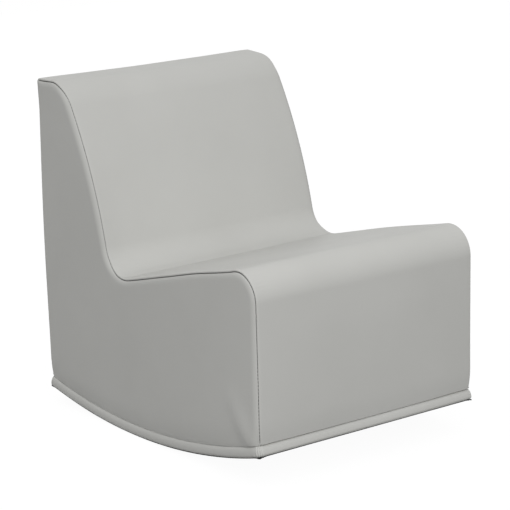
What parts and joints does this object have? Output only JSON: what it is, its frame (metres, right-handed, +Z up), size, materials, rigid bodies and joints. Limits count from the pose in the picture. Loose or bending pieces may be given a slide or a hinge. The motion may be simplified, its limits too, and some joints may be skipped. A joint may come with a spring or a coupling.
{
  "type": "child's upholstered floor rocker",
  "caption": "Low padded rocking seat for a child: curved seat and back in one run, flat sides, and a shallow curved base board wrapped in vinyl that rolls on the floor.",
  "frame": {"origin": "centre of the footprint on the floor, at the bottom centre of the overall box", "axes": "+Z up; the seat faces -Y; +X runs across from the left side to the right side, as seen from the front"},
  "size_m": [0.406, 0.5406, 0.5114],
  "materials": {
    "vinyl": "coated vinyl upholstery, satin, fine leather grain, warm light grey",
    "foam": "open-cell polyurethane foam, pale cream",
    "dust_cloth": "black non-woven dust cloth",
    "plywood": "unfinished birch plywood",
    "softwood": "planed pine",
    "hardboard": "pressed hardboard, brown",
    "zinc_steel": "zinc-plated steel"
  },
  "bodies": {
    "root": {"bottom_cloth": "dust_cloth", "cloth_staples": "zinc_steel", "board_cover": "vinyl", "board_edge_padding": "foam", "rocker_board": "plywood", "board_bolts": "zinc_steel", "board_washers": "zinc_steel", "t_nuts": "zinc_steel", "corner_blocks": "softwood", "side_frame_left": "plywood", "side_frame_right": "plywood", "centre_frame": "plywood", "front_bottom_rail": "softwood", "seat_front_rail": "softwood", "seat_rear_rail": "softwood", "back_bottom_rail": "softwood", "back_top_rail": "softwood", "rear_bottom_rail": "softwood", "frame_screws": "zinc_steel", "seat_deck": "plywood", "back_deck": "plywood", "front_panel": "hardboard", "rear_panel": "plywood", "seat_pad": "foam", "back_pad": "foam", "front_pad": "foam", "rear_pad": "foam", "side_pad_left": "foam", "side_pad_right": "foam", "seat_back_cover": "vinyl", "rear_cover": "vinyl", "side_cover_left": "vinyl", "side_cover_right": "vinyl"}
  },
  "joints": []
}
